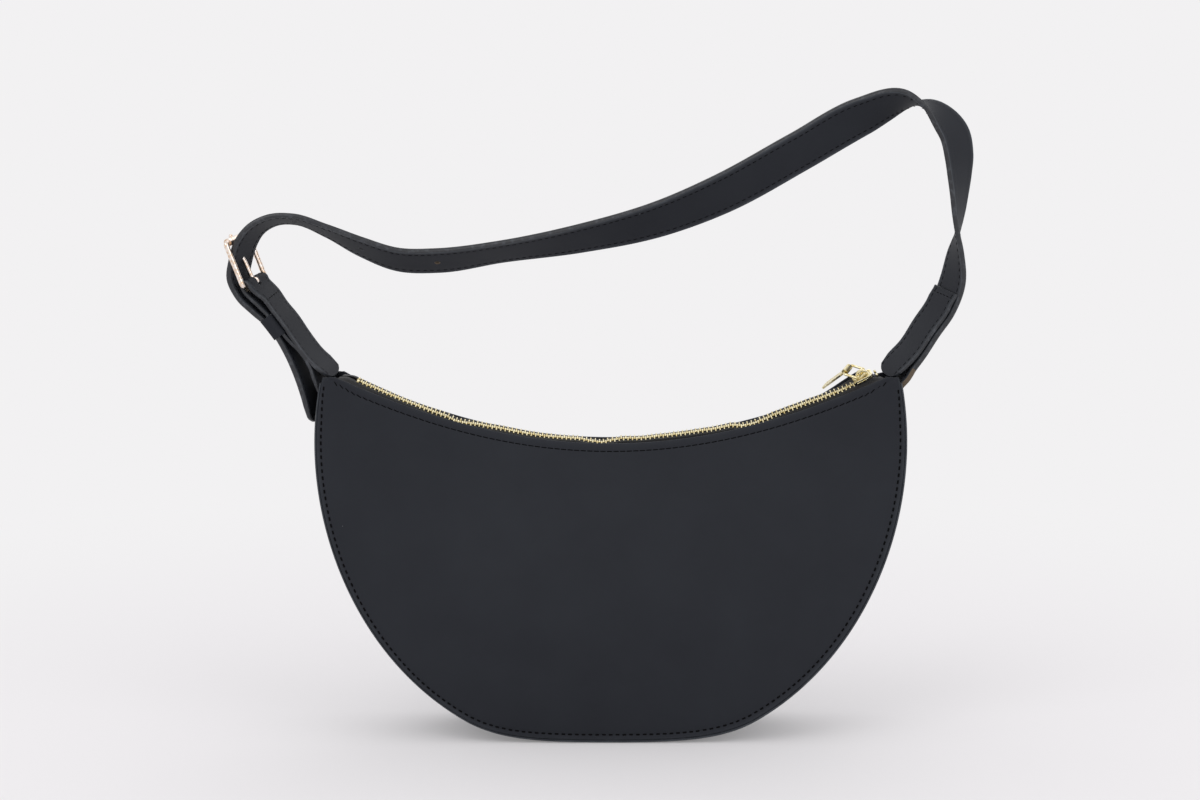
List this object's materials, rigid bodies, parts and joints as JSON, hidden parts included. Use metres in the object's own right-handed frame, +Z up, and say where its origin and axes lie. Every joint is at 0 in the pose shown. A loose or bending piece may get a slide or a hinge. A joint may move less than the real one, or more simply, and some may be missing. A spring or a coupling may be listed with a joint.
{
  "type": "half moon shoulder bag",
  "caption": "Slim half moon shoulder bag in dark leather: curved top zip with metal teeth and pull, buckled strap with roller buckle, keeper loop and free end.",
  "frame": {"origin": "on the floor under the middle of the bag's body, half way between the two panels' bottom edges", "axes": "+X along the zip towards the slider, +Y from the front panel to the back panel, +Z up"},
  "size_m": [0.3989, 0.0714, 0.3522],
  "materials": {
    "leather": "matte smooth",
    "lining": "plain weave",
    "zip_tape": "woven tape",
    "zip_metal": "polished gold",
    "buckle_metal": "polished pale gold"
  },
  "bodies": {
    "bag": {"front_panel": "leather", "back_panel": "leather", "gusset": "leather", "buckle_chape": "leather", "right_strap_tab": "leather", "shoulder_strap": "leather", "strap_free_end": "leather", "lining_front": "lining", "lining_back": "lining", "lining_gusset": "lining", "front_zip_tape": "zip_tape", "back_zip_tape": "zip_tape", "front_zip_teeth": "zip_metal", "back_zip_teeth": "zip_metal", "zip_top_stops": "zip_metal", "zip_bottom_stop": "zip_metal"},
    "slider": {"zip_slider": "zip_metal"},
    "link": {"pull_link": "zip_metal"},
    "tab": {"pull_tab": "zip_metal"},
    "buckle": {"buckle_frame": "buckle_metal"},
    "roller": {"buckle_roller": "buckle_metal"},
    "prong": {"buckle_prong": "buckle_metal"},
    "keeper": {"keeper_loop": "leather"}
  },
  "joints": [
    {"name": "zip_slide", "type": "hinge", "parent": "bag", "child": "slider", "pos_m": [0, 0, 0.4613], "axis": [0, 1, 0], "range_deg": [0, 50], "deforming": ["front_zip_teeth", "back_zip_teeth", "front_zip_tape", "back_zip_tape"]},
    {"name": "link_swing", "type": "hinge", "parent": "slider", "child": "link", "pos_m": [0.1358, -0.00101, 0.19803], "axis": [0.5445, 0.683, 0.4868], "range_deg": [0, 100]},
    {"name": "tab_swing", "type": "hinge", "parent": "link", "child": "tab", "pos_m": [0.12865, 0.00345, 0.19976], "axis": [0.5445, 0.683, 0.4868], "range_deg": [0, 70]},
    {"name": "buckle_tilt", "type": "hinge", "parent": "bag", "child": "buckle", "pos_m": [-0.1926, 0, 0.2479], "axis": [0.2893, 0.9511, 0.1087], "range_deg": [-20, 20], "deforming": ["strap_free_end"]},
    {"name": "roller_spin", "type": "hinge", "parent": "buckle", "child": "roller", "pos_m": [-0.20133, 0, 0.27111], "axis": [0.2893, 0.9511, 0.1087], "continuous": true},
    {"name": "prong_swing", "type": "hinge", "parent": "buckle", "child": "prong", "pos_m": [-0.1926, 0, 0.2479], "axis": [-0.2893, -0.9511, -0.1087], "range_deg": [0, 70], "deforming": ["strap_free_end"]},
    {"name": "keeper_slide", "type": "slide", "parent": "bag", "child": "keeper", "axis": [0.6, 0, -0.8], "range_m": [-0.009, 0.002], "deforming": ["strap_free_end"]}
  ]
}
